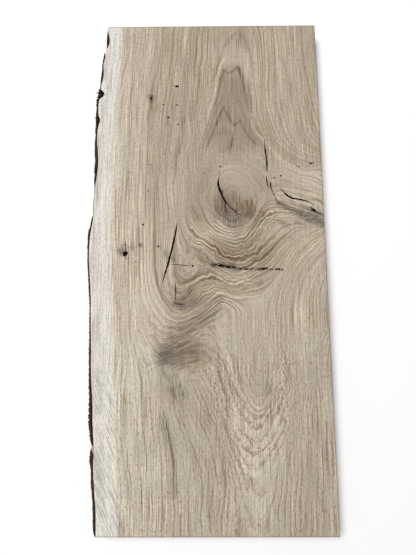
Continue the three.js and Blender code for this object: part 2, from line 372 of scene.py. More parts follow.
def carve(body, skins, operation="DIFFERENCE"):
    """Cuts closed skins out of a piece, or joins them to it."""
    points, faces, first = [], [], 0
    for skin_points, skin_faces in skins:
        points.append(skin_points)
        faces += [[first + k for k in face] for face in skin_faces]
        first += len(skin_points)
    tool = new_piece("tool", np.concatenate(points), faces)
    change = body.modifiers.new("change", "BOOLEAN")
    change.operation, change.solver, change.object = operation, "MANIFOLD", tool
    changed = bpy.data.meshes.new_from_object(body.evaluated_get(bpy.context.evaluated_depsgraph_get()))
    body.modifiers.clear()
    old = body.data
    body.data = changed
    bpy.data.meshes.remove(old)
    bpy.data.meshes.remove(tool.data)


for splits, seed in ((SPLITS, SPLIT_SEED), (BRANCH_SPLITS, BRANCH_SEED)):
    carve(board, [split_wedge(*split, seed + i * 3) for i, split in enumerate(splits.values())])
for first in (0, 1):
    carve(board, [hole_bowl(*hole, HOLE_SEED + i) for i, hole in enumerate(HOLES) if i % 2 == first])


# The plank's figure.
# The face cuts the growth rings at a low slope, so they show as tall arches over the heart, as curls
# round the knots and as straight lines at the sides. Each line below is one ring on the face, with its
# distance out from the heart. The year lines are those of the near end, counted in years.
GRAIN_LINES = [
    (220, [
        (-202, 500), (-213, 350), (-216, 250), (-214, 150), (-218, 50), (-220, 0), (-215, -80),
        (-211, -170), (-206, -270), (-200, -340), (-199, -400), (-194, -450), (-189, -500),
    ]),
    (180, [
        (-157, 500), (-165, 420), (-174, 350), (-180, 280), (-182, 200), (-181, 120), (-180, 40),
        (-175, -5), (-171, -60), (-168, -110), (-164, -170), (-161, -260), (-159, -340), (-155, -410),
        (-150, -460), (-146, -500),
    ]),
    (140, [
        (-115, 500), (-121, 435), (-131, 392), (-139, 345), (-142, 290), (-144, 200), (-147, 110),
        (-146, 40), (-143, -20), (-141, -80), (-137, -130), (-130, -170), (-121, -205), (-113, -265),
        (-107, -340), (-102, -400), (-98, -450), (-98, -500),
    ]),
    (120, [
        (-96, 500), (-102, 440), (-110, 385), (-116, 330), (-119, 270), (-121, 200), (-122, 120),
        (-121, 50), (-119, 0), (-117, -50), (-112, -95), (-98, -128), (-78, -148), (-52, -146), (-20, -132),
        (5, -117), (28, -100), (42, -98), (47, -130), (52, -170), (62, -205), (74, -245), (86, -282),
        (97, -308), (108, -292), (122, -262), (138, -228), (147, -185), (145, -130), (146, -85), (160, -45),
        (182, -6), (206, 22), (237, 46),
    ]),
    (100, [
        (-76, 500), (-81, 440), (-88, 370), (-93, 310), (-97, 240), (-99, 170), (-99, 100), (-98, 40),
        (-97, 0), (-94, -40), (-85, -72), (-70, -96), (-50, -112), (-25, -108), (0, -92), (18, -78),
        (35, -70), (50, -76), (62, -80), (80, -78), (105, -76), (125, -62), (142, -40), (158, -15),
        (178, 13), (205, 37), (237, 53),
    ]),
    (80, [
        (-52, 500), (-58, 430), (-66, 360), (-73, 300), (-78, 230), (-80, 160), (-78, 100), (-76, 50),
        (-78, 0), (-77, -35), (-70, -66), (-58, -84), (-40, -88), (-26, -78), (-14, -62), (0, -56),
        (15, -50), (35, -55), (52, -63), (68, -62), (85, -55), (110, -45), (133, -30), (152, -5), (175, 20),
        (205, 42),
    ]),
    (60, [
        (-30, 500), (-37, 420), (-45, 350), (-53, 280), (-60, 210), (-62, 150), (-58, 100), (-52, 60),
        (-48, 20), (-45, -15), (-38, -40), (-26, -42), (-10, -28), (15, -24), (38, -38), (60, -46),
        (82, -40), (105, -25), (130, -10), (150, 15), (175, 38), (205, 53), (237, 60),
    ]),
    (30, [
        (8, 500), (1, 450), (-6, 400), (-12, 350), (-16, 300), (-16, 260), (-22, 220), (-33, 180),
        (-40, 140), (-38, 100), (-33, 70), (-20, 48), (0, 36), (20, 22), (45, 2), (62, -3), (85, 2),
        (108, 16), (130, 38), (155, 60), (180, 66),
    ]),
    (15, [
        (-25, 180), (-14, 210), (-8, 240), (-3, 270), (5, 300), (15, 330), (22, 360), (28, 390), (33, 415),
        (40, 440), (48, 462), (60, 478), (75, 490), (88, 474), (98, 440), (103, 400), (107, 360),
        (110, 330), (113, 300), (119, 278), (128, 252), (140, 228), (160, 208), (185, 196), (237, 185),
    ]),
    (5, [
        (-15, 205), (-6, 225), (0, 245), (8, 270), (18, 300), (28, 330), (34, 355), (37, 380), (44, 397),
        (52, 386), (62, 394), (75, 402), (83, 370), (86, 345), (88, 320), (91, 295), (98, 272), (108, 252),
        (122, 236), (135, 220), (150, 200), (170, 185), (195, 172), (237, 160),
    ]),
    (-5, [
        (-6, 190), (8, 220), (18, 247), (25, 265), (32, 290), (36, 303), (45, 315), (50, 295), (56, 280),
        (62, 270), (70, 277), (76, 283), (80, 270), (88, 255), (98, 240), (110, 228), (125, 213),
        (140, 190), (160, 172), (190, 158), (237, 143),
    ]),
    (-15, [
        (-12, 110), (-8, 140), (2, 170), (15, 190), (25, 200), (35, 197), (48, 200), (62, 207), (72, 203),
        (80, 195), (92, 187), (105, 181), (118, 173), (130, 158), (150, 150), (180, 145), (237, 128),
    ]),
    (-10, [
        (-8, 90), (2, 62), (22, 43), (42, 33), (62, 28), (80, 33), (97, 50), (108, 68), (122, 84),
        (140, 92), (165, 90), (190, 84), (237, 72),
    ]),
    (-30, [
        (8, 110), (12, 145), (24, 172), (42, 180), (60, 184), (78, 176), (95, 160), (108, 135), (112, 110),
        (104, 85), (90, 66), (70, 56), (50, 56), (30, 68), (14, 88),
    ]),
    (-50, [(30, 115), (36, 140), (55, 152), (76, 145), (86, 120), (82, 98), (66, 84), (46, 88)]),
    (-68, [(58, 118)]), (-28, [(150, 125), (180, 118), (210, 110), (237, 102)]),
    (130, [
        (-120, -110), (-113, -150), (-98, -175), (-80, -190), (-60, -182), (-35, -168), (-5, -155),
        (15, -156), (28, -178), (36, -210), (45, -245), (56, -275), (72, -315), (126, -338), (140, -308),
        (153, -270), (160, -230), (157, -180), (155, -120), (158, -80), (170, -46), (191, -9), (214, 14),
        (237, 34),
    ]),
    (150, [
        (-72, -300), (-76, -245), (-70, -212), (-45, -200), (-15, -196), (5, -205), (22, -228), (33, -260),
        (42, -295), (52, -325),
    ]),
    (150, [
        (172, -330), (176, -260), (176, -200), (174, -140), (176, -90), (185, -56), (203, -22), (222, 0),
        (237, 14),
    ]),
    (180, [
        (203, -500), (203, -400), (205, -300), (206, -200), (204, -120), (208, -70), (220, -38), (237, -14),
    ]),
    (210, [(232, -500), (233, -300), (235, -180), (237, -110)]),
    (50, [
        (141, 500), (145, 440), (146, 400), (143, 360), (143, 320), (148, 295), (154, 272), (162, 248),
        (176, 226), (200, 208), (237, 198),
    ]),
    (95, [(184, 500), (186, 430), (190, 380), (195, 340), (200, 300), (205, 265), (214, 240), (237, 222)]),
    (145, [(237, 500)]), (140, [(237, 400)]), (132, [(237, 320)]), (115, [(237, 255)]),
    (104, [(100, -105)]), (107, [(96, -160)]), (111, [(95, -220)]),
]
YEAR_LINES = [
    (-5, [(-206, -170), (-204, -280), (-199, -400), (-189, -500)]),
    (0, [(-163, -170), (-160, -300), (-158, -360), (-150, -440), (-146, -500)]),
    (2, [(-152, -170), (-150, -260), (-148, -330), (-142, -370), (-136, -405), (-128, -470), (-126, -500)]),
    (6, [
        (-130, -170), (-120, -205), (-113, -240), (-110, -290), (-107, -330), (-101, -390), (-98, -430),
        (-97, -500),
    ]),
    (11, [
        (-84, -200), (-76, -240), (-72, -290), (-65, -320), (-57, -350), (-53, -380), (-51, -420),
        (-50, -500),
    ]),
    (11, [(235, -170), (237, -300), (237, -400), (237, -500)]),
    (14, [(210, -170), (212, -300), (209, -400), (205, -500)]),
    (16, [(-56, -215), (-45, -250), (-28, -300), (-10, -340), (1, -370), (8, -395), (9, -440), (10, -500)]),
    (17, [(188, -170), (190, -230), (188, -300), (184, -360), (178, -430), (174, -500)]),
    (20, [
        (-28, -215), (-18, -240), (0, -280), (22, -320), (28, -350), (35, -380), (39, -400), (39, -440),
        (33, -470), (33, -500),
    ]),
    (20, [(172, -170), (176, -230), (174, -290), (166, -345), (156, -400), (150, -450), (148, -500)]),
    (22, [(70, -470), (74, -500)]), (22, [(128, -450), (126, -500)]),
    (23, [(76, -440), (86, -462), (96, -468), (106, -458), (122, -425)]),
    (24, [
        (0, -210), (10, -230), (22, -250), (28, -275), (32, -295), (38, -310), (43, -325), (45, -335),
        (55, -360), (64, -375), (72, -392), (84, -406), (96, -410), (108, -398), (122, -372), (138, -345),
        (152, -318), (162, -280), (167, -240), (168, -205), (165, -170),
    ]),
    (26, [
        (0, -180), (20, -200), (28, -215), (35, -240), (42, -265), (43, -285), (49, -305), (58, -326),
        (72, -342), (88, -352), (100, -354), (109, -348), (120, -334), (130, -316), (142, -290),
        (151, -262), (156, -235), (157, -210), (150, -170),
    ]),
    (28, [
        (0, -150), (18, -172), (30, -190), (40, -205), (47, -235), (55, -256), (65, -274), (75, -290),
        (85, -304), (97, -311), (106, -305), (118, -290), (130, -270), (140, -248), (146, -230),
        (148, -200), (142, -170),
    ]),
    (30, [
        (38, -138), (48, -160), (58, -185), (62, -200), (68, -230), (76, -250), (86, -270), (98, -284),
        (107, -284), (116, -270), (127, -248), (133, -220), (135, -180), (138, -140),
    ]),
    (33, [(88, -150), (93, -200), (97, -232), (103, -246), (108, -236), (112, -205), (114, -150)]),
    (35, [(102, -205)]), (38, [(98, -120), (101, -150)]),
]
RING_STIFFNESS, RING_UNIT, SLOPE_STEP = 0.001, 100, 2
YEAR = 6.5
NEAR_END_FROM = [
    (-240, -150), (-105, -165), (-82, -188), (-62, -203), (-20, -212), (4, -196), (40, -150), (240, -115),
]
HEART_X, HEART_BELOW_FACE = 85, 120


def ring_bump(x, y, places):
    """The bend of a thin plate pushed at each place: half of r squared times the log of r squared."""
    apart = (x[:, None] - places[:, 0]) ** 2 + (y[:, None] - places[:, 1]) ** 2
    return 0.5 * apart * np.log(np.maximum(apart, 1e-9))


def fit_rings(lines):
    """The thin plate that passes close to every ring line: weights of the bumps, and a plane."""
    places = np.array([p for _, line in lines for p in line], float) / RING_UNIT
    value = np.array([ring for ring, line in lines for _ in line], float)
    plane = np.column_stack([np.ones(len(places)), places])
    bend = ring_bump(*places.T, places) + RING_STIFFNESS * np.eye(len(places))
    whole = np.block([[bend, plane], [plane.T, np.zeros((3, 3))]])
    return places, np.linalg.solve(whole, np.concatenate([value, np.zeros(3)]))


def ring_at(x, y, height, lines):
    """Ring distance at points of the plank. Going down, a ring moves out from the heart as a circle does.
    Waves and jags push the places about where the grain curls or is torn."""
    places, weights = fit_rings(lines)
    wavy = 0.25 + 1.65 * soft_marks(x, y, CURLS)
    jagged = 1.6 * soft_marks(x, y, JAGGED)
    u = (x + wavy * ripple(x, y / 3, 16, 1) + jagged * ripple(x / 2, y, 11, 3)) / RING_UNIT
    v = (y + wavy * ripple(x, y / 2, 18, 2) + jagged * ripple(x, y, 9, 4)) / RING_UNIT
    ring = np.empty(len(x))
    for part in np.array_split(np.arange(len(x)), 12):
        bumps = ring_bump(u[part], v[part], places)
        ring[part] = bumps @ weights[:-3] + weights[-3] + weights[-2] * u[part] + weights[-1] * v[part]
    above_heart = HEART_BELOW_FACE - THICKNESS + height
    return ring + np.hypot(x - HEART_X, above_heart) - np.hypot(x - HEART_X, HEART_BELOW_FACE)


def ring_slope(x, y, height):
    """The ring distance, and the length of its slope across the face, taken over a short step."""
    here = ring_at(x, y, height, GRAIN_LINES)
    right = ring_at(x + SLOPE_STEP, y, height, GRAIN_LINES) - here
    ahead = ring_at(x, y + SLOPE_STEP, height, GRAIN_LINES) - here
    return here, np.hypot(right, ahead) / SLOPE_STEP


def soft_marks(x, y, marks):
    """How strongly marks (strength, half width, line) cover each point. A mark falls off with the square of
    the distance from its line, and what one leaves clear the next covers."""
    clear = np.ones(len(x))
    for strength, width, line in marks:
        line = np.array(line, float)
        nearest = np.full(len(x), np.inf)
        for (ax, ay), (bx, by) in zip(line[:-1], line[1:]):
            long = max((bx - ax) ** 2 + (by - ay) ** 2, 1e-9)
            t = np.clip(((x - ax) * (bx - ax) + (y - ay) * (by - ay)) / long, 0, 1)
            nearest = np.minimum(nearest, (x - ax - t * (bx - ax)) ** 2 + (y - ay - t * (by - ay)) ** 2)
        clear *= 1 - strength * np.exp(-nearest / width**2)
    return 1 - clear


# The marks on the face, each a strength, a half width and a line. The first are where the grain curls.
CURLS = [
    (1, 32, [(20, 20), (60, -5), (100, 15)]), (0.8, 20, [(-20, 60), (-10, 0), (10, -50)]),
    (0.7, 18, [(110, 80), (140, 75)]), (0.5, 20, [(10, -60), (80, -50)]),
    (0.5, 14, [(-100, -125), (-70, -140)]),
]
# Where the year lines are torn into a zigzag.
JAGGED = [
    (1, 40, [(25, -210), (50, -300), (95, -350)]), (0.9, 30, [(150, -200), (145, -280), (100, -350)]),
    (0.6, 40, [(60, -380), (60, -480)]), (0.6, 30, [(90, 80), (160, 60)]), (0.5, 30, [(0, -60), (90, -60)]),
]
# Where the year lines hardly show.
QUIET = [
    (0.5, 30, [(-112, -100), (-104, -170)]), (0.4, 30, [(92, -400), (95, -450)]),
    (0.7, 14, [(56, 122), (64, 120)]), (0.4, 60, [(190, 470), (196, 250)]),
    (0.35, 70, [(-100, 470), (-90, 150)]), (0.4, 24, [(-145, -70), (-125, -100)]),
    (0.85, 16, [(101, -190), (104, -250)]),
    (0.75, 34, [(-6, 130), (0, 185), (50, 205), (100, 180), (118, 150)]),
    (0.95, 15, [(-66, -214), (-34, -220), (0, -214)]), (0.6, 14, [(-50, -190), (-10, -190)]),
    (0.6, 24, [(150, 170), (200, 150)]),
]
# Where the planer tore the grain, in fine slanted strokes.
HATCH = [
    (0.8, 13, [(196, 84), (216, 72), (240, 64)]), (1, 24, [(-58, -198), (-35, -206), (-8, -204)]),
    (0.8, 18, [(-60, -150), (-20, -146)]), (0.6, 16, [(-110, -130), (-85, -150)]),
]
# Where the fibres follow the rings. Elsewhere they run straight along the board.
KNOT_PULL = [
    (1, 80, [(40, 60), (60, 120)]), (1, 60, [(100, 30), (0, -30), (-40, -60)]),
    (1, 60, [(-20, -120), (-70, -180)]), (0.9, 50, [(200, 110), (150, 90)]),
    (0.8, 50, [(120, -20), (30, -80)]), (0.8, 30, [(180, 0), (230, 30)]),
]
# Darker wood.
SHADE = [
    (0.4, 9, [(-70, -310), (-58, -370), (-53, -430)]), (0.3, 10, [(-60, -250), (-44, -275)]),
    (0.13, 50, [(-64, 300), (-64, 110)]), (0.16, 40, [(-146, 480), (-146, 300)]),
    (0.14, 34, [(44, 140), (74, 130)]), (0.22, 20, [(-50, -42), (-48, -74)]),
    (0.1, 60, [(190, 430), (190, 260)]), (0.4, 24, [(-60, -194), (-30, -200), (-8, -206)]),
    (0.3, 20, [(-60, -150), (-20, -150)]), (0.25, 26, [(130, 20), (165, 36)]),
    (0.25, 20, [(-45, -40), (-40, -80)]), (0.25, 26, [(50, 375), (90, 320)]),
    (0.3, 28, [(100, -180), (104, -235)]), (0.35, 46, [(52, 118), (68, 112)]),
    (0.4, 24, [(-45, -60), (-40, -85)]), (0.4, 26, [(40, 95), (85, 90)]),
    (0.2, 6, [(230, -250), (230, -500)]), (0.3, 30, [(0, -10), (100, 5)]),
    (0.25, 22, [(58, 360), (58, 340), (62, 270), (60, 235)]), (0.25, 20, [(95, 320), (100, 265)]),
    (0.35, 26, [(40, 470), (90, 470)]), (0.6, 34, [(-10, -80), (-40, -150)]),
    (0.55, 30, [(10, -20), (80, 10), (120, 0)]), (0.45, 20, [(-66, -192), (-30, -192), (-6, -200)]),
    (0.45, 22, [(-45, -45), (-45, -70)]), (0.3, 30, [(30, 100), (80, 80)]),
    (0.35, 14, [(-80, -240), (-60, -260)]), (0.3, 30, [(0, 200), (-20, 100)]),
    (0.25, 45, [(60, 100), (120, 120)]), (0.2, 30, [(120, 240), (180, 190)]),
    (0.2, 40, [(-40, 420), (-40, 250)]), (0.25, 30, [(190, -250), (190, -480)]),
    (0.2, 45, [(20, -300), (30, -480)]),
]
# Paler wood.
PALE = [
    (0.4, 22, [(-145, -70), (-124, -105)]), (0.45, 30, [(60, -310), (85, -360), (80, -420)]),
    (0.3, 40, [(-150, 80), (-150, -60)]), (0.35, 36, [(-148, -180), (-148, -300)]),
    (0.2, 40, [(-20, -440), (60, -480)]),
    (0.5, 2.6, [(-116, -230), (-112, -300), (-104, -380), (-101, -470)]),
    (0.35, 25, [(55, -295), (92, -340)]), (0.35, 40, [(-120, 70), (-118, -60)]),
    (0.5, 40, [(-135, -200), (-125, -300)]), (0.35, 26, [(110, 480), (112, 300)]),
    (0.35, 8, [(137, -310), (138, -375)]), (0.3, 10, [(125, -240), (140, -225)]),
    (0.3, 8, [(85, -283), (88, -287)]), (0.35, 6, [(88, -420), (95, -460)]),
    (0.4, 10, [(-160, -60), (-150, -150)]),
    (0.75, 46, [(-150, 520), (-158, 300), (-160, 0), (-140, -300), (-120, -520)]),
    (0.5, 30, [(205, 150), (180, 165)]), (0.25, 25, [(110, -330), (110, -430)]),
    (0.3, 60, [(-150, -250), (-125, -480)]), (0.3, 40, [(215, 30), (190, -120)]),
    (0.5, 9, [(200, 70), (240, 73)]), (0.35, 14, [(150, 60), (190, 40)]),
    (0.5, 3, [(-100, -120), (-80, -130), (-65, -145)]), (0.9, 1.6, [(68, 123), (69, 123)]),
    (0.4, 5, [(-6, -55), (10, -58), (18, -66)]), (0.4, 8, [(-60, -40), (-65, -80)]),
    (0.35, 5, [(0, 45), (20, 40)]), (0.4, 20, [(-200, 330), (-198, 280)]),
    (0.3, 12, [(30, 70), (60, 32), (90, 45)]),
]
# Brown stains, and the boldest of the year lines.
BROWN = [
    (0.14, 30, [(44, 130), (62, 104)]), (0.3, 6, [(30, 124), (38, 100)]),
    (0.12, 24, [(-50, -180), (-20, -170)]), (0.7, 4, [(94, 112), (99, 96)]), (0.7, 4, [(84, 90), (96, 84)]),
    (0.6, 4, [(84, 108), (86, 96)]),
    (0.4, 2.2, [
        (-130, -170), (-120, -205), (-113, -240), (-110, -290), (-107, -330), (-101, -390), (-98, -430),
        (-97, -470),
    ]),
    (0.3, 2, [(-150, -260), (-148, -330), (-142, -370), (-136, -405), (-128, -470)]),
    (0.35, 1.8, [(1, -370), (8, -395), (9, -440), (10, -470)]), (0.3, 2, [(165, -185), (168, -205)]),
    (0.5, 1.8, [(18, -172), (30, -190), (40, -205), (47, -235), (53, -260)]),
    (0.45, 1.8, [(58, -250), (66, -270), (75, -290), (85, -305), (97, -311), (103, -308)]),
    (0.5, 1.8, [(0, -180), (20, -200), (28, -215), (35, -240), (42, -265), (40, -285), (47, -300)]),
    (0.4, 1.8, [(0, -210), (10, -230), (22, -240)]),
    (0.4, 1.8, [(48, -160), (58, -185), (62, -200), (68, -230), (72, -240)]),
    (0.4, 1.8, [(103, -297), (112, -296), (120, -298), (123, -285)]),
    (0.45, 1.8, [(32, -295), (38, -310), (43, -325), (55, -360)]),
    (0.4, 1.8, [(62, -360), (64, -375), (68, -390), (78, -425)]),
    (0.45, 2, [(78, -332), (90, -350), (100, -354)]),
    (0.4, 1.8, [(22, -320), (28, -350), (35, -380), (39, -400), (39, -440), (33, -470)]),
    (0.4, 1.8, [(145, -170), (150, -190), (156, -210), (153, -235), (147, -255)]),
    (0.4, 1.8, [(92, -375), (97, -390), (98, -400)]), (0.4, 1.8, [(80, -380), (83, -400), (88, -420)]),
    (0.4, 2.4, [
        (24, 318), (32, 350), (37, 375), (44, 397), (52, 387), (62, 393), (72, 404), (80, 385), (86, 350),
    ]),
    (0.4, 2.6, [(86, 350), (92, 315), (98, 290), (108, 262)]), (0.4, 5, [(74, 402), (80, 380)]),
    (0.45, 3, [
        (22, 372), (28, 400), (34, 425), (42, 448), (54, 466), (66, 480), (75, 490), (88, 474), (97, 445),
    ]),
    (0.5, 2.2, [(36, 303), (30, 284), (20, 256), (8, 226)]),
    (0.45, 2.2, [(76, 283), (82, 266), (92, 248), (108, 228)]), (0.3, 13, [(42, 92), (62, 84), (84, 92)]),
    (0.5, 8, [(30, 112), (36, 96)]), (0.5, 6, [(86, 84), (102, 90)]),
    (0.3, 7, [(-145, -480), (-143, -505)]), (0.35, 10, [(-60, -190), (-30, -184), (0, -192)]),
    (0.8, 4, [(27, 115), (30, 98)]), (0.7, 3, [(38, 108), (37, 94)]), (0.8, 4, [(42, 100), (44, 84)]),
    (0.5, 2.4, [(72, 118), (76, 100)]), (0.7, 3.4, [(68, 106), (68, 92)]), (0.9, 5, [(82, 92), (94, 80)]),
    (0.7, 4, [(88, 110), (92, 92)]), (0.6, 3, [(76, 100), (78, 88)]),
    (0.5, 3, [(36, 134), (44, 112), (56, 98)]), (0.4, 3, [(62, 126), (60, 112)]),
    (0.35, 5, [(82, 500), (78, 470), (74, 450)]), (0.45, 4, [(-113, 339), (-103, 338)]),
    (0.35, 2.5, [(-107, 330), (-104, 304)]), (0.4, 2.5, [(-72, 288), (-71, 275)]),
    (0.3, 3, [(-38, 290), (-38, 278)]), (0.3, 4, [(-93, 315), (-92, 305)]),
    (0.5, 2, [(134, 148), (139, 122), (150, 104)]), (0.35, 4, [(-30, 30), (-30, 8)]),
    (0.35, 5, [(-28, -18), (-24, -34)]), (0.3, 6, [(-20, 95), (-14, 75)]), (0.35, 5, [(-8, 80), (0, 72)]),
    (0.4, 5, [(100, 60), (108, 92), (118, 84)]), (0.3, 12, [(20, 20), (60, -8)]),
    (0.3, 6, [(60, -55), (80, -62)]), (0.4, 3, [(100, -42), (124, -28)]), (0.25, 10, [(-5, 0), (10, -20)]),
    (0.3, 2, [(-143, 500), (-147, 380), (-148, 250), (-147, 100), (-143, -60), (-138, -160)]),
    (0.35, 1.8, [(-132, 60), (-128, -40)]), (0.35, 2, [(-115, 500), (-122, 430)]),
    (0.3, 2, [(-178, 20), (-170, -60), (-163, -120)]),
    (0.5, 2, [(28, 275), (36, 300), (42, 314), (52, 290), (62, 272), (70, 278)]),
    (0.4, 2.2, [(88, 385), (98, 330), (106, 285)]),
]
# Grey stains.
GREY = [
    (0.6, 4, [(-82, -194), (-70, -188), (-58, -181), (-44, -173), (-30, -166)]),
    (0.45, 6, [(-74, -196), (-58, -204)]), (0.5, 5, [(-80, -194), (-66, -184)]),
    (0.3, 8, [(30, 80), (50, 72)]), (0.4, 5, [(-78, -205), (-72, -222)]),
    (0.35, 3, [(-74, -196), (-40, -202), (-10, -198)]), (0.5, 3, [(-163, 12), (-160, 4)]),
    (0.45, 2.4, [(-148, -4), (-142, -14)]), (0.4, 9, [(-154, 14), (-140, 18)]),
    (0.3, 4, [(-88, 22), (-84, 18)]), (0.4, 3, [(-80, -192), (-62, -178), (-44, -165)]),
    (0.35, 4, [(-68, -226), (-62, -236)]), (0.4, 3, [(-52, -262), (-46, -272)]),
    (0.35, 3, [(-34, -246), (-30, -256)]), (0.5, 11, [(-66, -191), (-44, -186), (-18, -184)]),
    (0.3, 7, [(-66, -200), (-40, -205)]), (0.75, 4.5, [(-79, -191), (-64, -188)]),
    (0.4, 4, [(-72, -290), (-65, -320), (-57, -350), (-53, -380), (-51, -420)]),
    (0.45, 3, [(-50, -225), (-47, -228)]), (0.45, 3.5, [(-45, -240), (-42, -246)]),
    (0.5, 3.5, [(-40, -255), (-36, -262)]), (0.45, 4, [(-57, -252), (-55, -260)]),
    (0.35, 14, [(40, 90), (58, 74), (82, 80)]), (0.5, 4, [(24, 100), (30, 84), (44, 72)]),
    (0.3, 5, [(180, -262), (190, -268)]), (0.7, 6, [(150, 105), (172, 94), (190, 85)]),
    (0.8, 7, [(190, 85), (214, 72), (240, 61)]), (0.5, 10, [(196, 92), (236, 78)]),
    (0.4, 18, [(28, -85), (0, -115), (-35, -140), (-68, -185)]),
    (0.35, 12, [(-78, -192), (-50, -178), (-10, -166)]),
    (0.35, 10, [(-60, -150), (-20, -135), (12, -112), (30, -92)]),
    (0.55, 9, [(-28, -60), (-22, -85), (-45, -92)]), (0.5, 5, [(-52, -92), (-38, -96)]),
    (0.6, 3, [(-42, -76), (-36, -82)]), (0.5, 7, [(-55, -228), (-38, -258)]),
    (0.35, 6, [(-62, -250), (-45, -245)]), (0.35, 6, [(-72, -300), (-58, -350), (-50, -425)]),
    (0.4, 4, [(-82, -60), (-76, -82), (-60, -106)]), (0.3, 3, [(-90, -30), (-88, -55)]),
    (0.45, 5, [(-70, 4), (-60, -8)]), (0.5, 12, [(48, 88), (60, 72)]), (0.35, 14, [(62, 62), (66, 48)]),
    (0.4, 8, [(36, 128), (44, 112)]), (0.6, 5, [(152, 106), (172, 92), (192, 83)]),
    (0.55, 6, [(190, 84), (215, 70), (240, 60)]), (0.5, 5, [(206, 76), (226, 62)]),
    (0.5, 4, [(182, 68), (196, 62)]), (0.45, 6, [(150, 68), (165, 60)]), (0.4, 6, [(160, 118), (176, 112)]),
    (0.45, 6, [(-158, 12), (-140, 16)]), (0.5, 7, [(-72, 6), (-66, -6)]),
    (0.4, 4, [(-146, 0), (-140, -10)]), (0.4, 3, [(-124, 25), (-120, 22)]),
    (0.4, 4, [(76, 402), (84, 372), (92, 332), (98, 300)]), (0.3, 12, [(40, 250), (44, 215)]),
    (0.4, 4, [(58, 252), (54, 210)]), (0.3, 6, [(80, -12), (104, -2)]), (0.3, 8, [(90, -40), (110, -52)]),
    (0.3, 5, [(-20, 320), (-26, 290)]), (0.35, 3, [(-24, 100), (-22, 88)]),
    (0.3, 6, [(120, -240), (120, -300)]),
]
# Blue-grey stains in the sapwood.
BLUE_GREY = [
    (0.5, 7, [(-198, -215), (-190, -250), (-192, -285)]), (0.45, 6, [(-193, -362), (-182, -404)]),
    (0.4, 6, [(-188, -420), (-180, -462)]), (0.5, 7, [(-204, 430), (-208, 380)]),
    (0.5, 9, [(-207, 250), (-210, 200), (-212, 120)]), (0.45, 7, [(-213, 60), (-214, 0), (-210, -60)]),
    (0.3, 6, [(-206, -120), (-204, -200)]), (0.45, 8, [(-196, -360), (-186, -420)]),
    (0.3, 8, [(-199, 330), (-202, 300)]),
]
# Black stains, at the holes and splits.
BLACK = [
    (0.5, 3, [(92, -27), (116, -25)]), (0.4, 3.2, [(206, 86), (224, 76), (238, 72)]),
    (0.4, 2.4, [(196, 74), (214, 66)]), (0.35, 2.4, [(-80, -193), (-70, -187)]),
    (0.5, 5, [(-153, 8), (-149, 5)]), (0.4, 5, [(-107, 334), (-105, 328)]),
    (0.5, 2, [(196, 84), (206, 78)]), (0.5, 2.4, [(214, 76), (222, 71)]),
    (0.5, 2.4, [(226, 68), (238, 62)]), (0.35, 3, [(40, 92), (52, 84)]), (0.35, 2.4, [(74, 86), (84, 84)]),
    (0.4, 3, [(-157, 22), (-152, 24)]), (0.4, 3, [(-147, 19), (-143, 20)]),
    (0.4, 3.4, [(-123, 23), (-121, 22)]), (0.95, 4, [(18, -17), (34, -17), (52, -21), (60, -23)]),
    (0.6, 2.2, [(66, -24), (90, -26), (110, -25), (124, -24)]), (0.45, 1.8, [(128, -26), (152, -27)]),
    (0.5, 4, [(-153, 6), (-148, 7)]), (0.4, 2.5, [(170, 117), (200, 111)]),
    (0.35, 2.2, [(31, 148), (36, 128), (44, 108)]), (0.4, 2, [(128, 205), (128, 185)]),
    (0.35, 3, [(212, 92), (220, 92)]), (0.35, 2.5, [(-56, 362), (-50, 358)]),
    (0.35, 2.5, [(-108, 338), (-106, 332)]), (0.6, 3.4, [(-54, -90), (-42, -93)]),
    (0.55, 5, [(-64, 4), (-61, -6)]),
]
# The border of the sapwood on the face, as (y, x) points, and how soft it is there.
SAP_BORDER = [
    (-500, -150), (-395, -156), (-277, -163), (-159, -167), (-47, -173), (87, -179), (212, -177),
    (298, -175), (500, -171),
]
SAP_BORDER_SOFTNESS = [(-20, 3), (250, 10)]
NEAR_END_SOFTNESS = [(0, 14), (90, 60)]
SAPWOOD_BEFORE_X = -90
# How far below the face its stains begin to fade, and where they end.
STAINS_FADE, STAINS_END = 8, 14


def note(piece, **values):
    """Keeps one number for each point of a piece, for its finish to read."""
    for name, value in values.items():
        layer = piece.data.attributes.new(name, "FLOAT", "POINT")
        layer.data.foreach_set("value", np.ascontiguousarray(value, np.float32))


def points_of(piece):
    """A piece's points in millimetres."""
    flat = np.empty(len(piece.data.vertices) * 3)
    piece.data.vertices.foreach_get("co", flat)
    return flat.reshape(-1, 3).T / MM


def smooth_step(value, low, high):
    """0 below low and 1 above high, with a soft rise between."""
    t = np.clip((value - low) / (high - low), 0, 1)
    return t * t * (3 - 2 * t)


def broken_line(points, places):
    """Straight pieces through (place, value) points."""
    return np.interp(places, *np.array(points, float).T)


x, y, z = points_of(board)
ring, slope = ring_slope(x, y, z)
near_face = smooth_step(z, THICKNESS - STAINS_END, THICKNESS - STAINS_FADE)
past_near_line = broken_line(NEAR_END_FROM, x) - y
border_y, border_x = np.array(SAP_BORDER, float).T
border_ring = ring_at(border_x, border_y, np.full(len(border_y), THICKNESS), GRAIN_LINES)
past_border = ring - np.interp(y, border_y, border_ring) + 0.8 * ripple(x, y / 4, 12, 5)
border_soft = broken_line(SAP_BORDER_SOFTNESS, y)
from_side, from_end = SAWN_X - x, LENGTH / 2 - np.abs(y)
inside = (from_side > 1) & (from_end > 1) & (from_side < edge_reach(y + LENGTH / 2, z) - 2)
